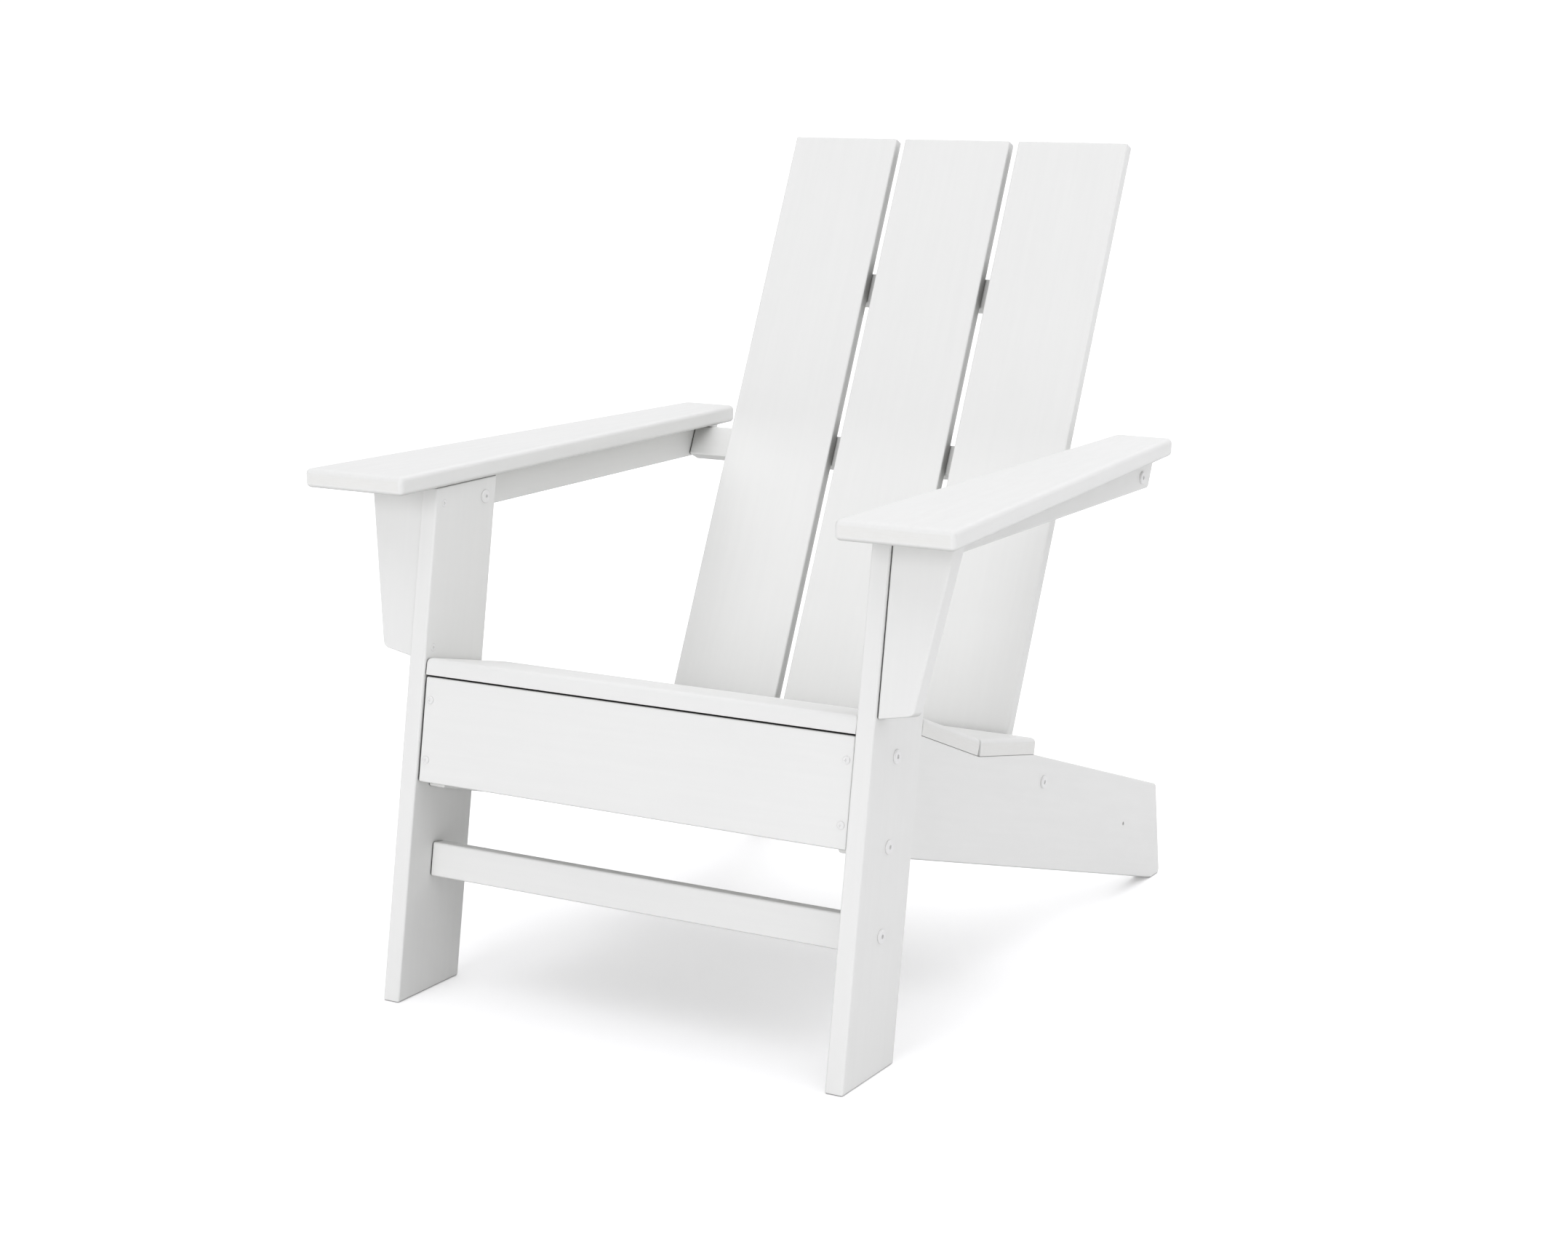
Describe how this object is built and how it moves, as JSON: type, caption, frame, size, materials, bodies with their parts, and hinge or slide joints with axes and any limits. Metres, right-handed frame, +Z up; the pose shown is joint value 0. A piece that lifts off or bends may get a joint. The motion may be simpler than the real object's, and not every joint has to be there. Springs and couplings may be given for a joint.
{
  "type": "adirondack chair",
  "caption": "Low garden chair of flat boards: sloping slatted seat, reclined slatted back, wide flat tapered arms on outside brackets, front legs that lean back.",
  "frame": {"origin": "on the floor, under the centre of the overall box", "axes": "+Z up, +Y from the front of the chair to its back, +X to the right as seen from the front"},
  "size_m": [0.8326, 0.9234, 0.9662],
  "materials": {
    "lumber": "matte, through-coloured white with a fine pebbled grain",
    "fastener": "satin white coating"
  },
  "bodies": {
    "root": {"left_front_leg": "lumber", "right_front_leg": "lumber", "left_side_rail": "lumber", "right_side_rail": "lumber", "front_apron": "lumber", "front_stretcher": "lumber", "seat_slat_front": "lumber", "seat_slat_middle": "lumber", "seat_slat_rear": "lumber", "back_slat_left": "lumber", "back_slat_center": "lumber", "back_slat_right": "lumber", "upper_back_batten": "lumber", "arm_cross_beam": "lumber", "left_beam_cleat": "lumber", "right_beam_cleat": "lumber", "lower_back_support": "lumber", "left_arm": "lumber", "right_arm": "lumber", "left_arm_rail": "lumber", "right_arm_rail": "lumber", "left_corbel": "lumber", "right_corbel": "lumber", "leg_bolts": "fastener", "leg_cap_nuts": "fastener", "stretcher_bolts": "fastener", "arm_rail_bolts": "fastener", "arm_rail_cap_nuts": "fastener", "beam_bolts": "fastener", "support_bolts": "fastener", "apron_screws": "fastener", "corbel_screws": "fastener", "seat_screws": "fastener", "back_screws": "fastener", "support_screws": "fastener", "cleat_screws": "fastener", "arm_screws": "fastener"}
  },
  "joints": []
}
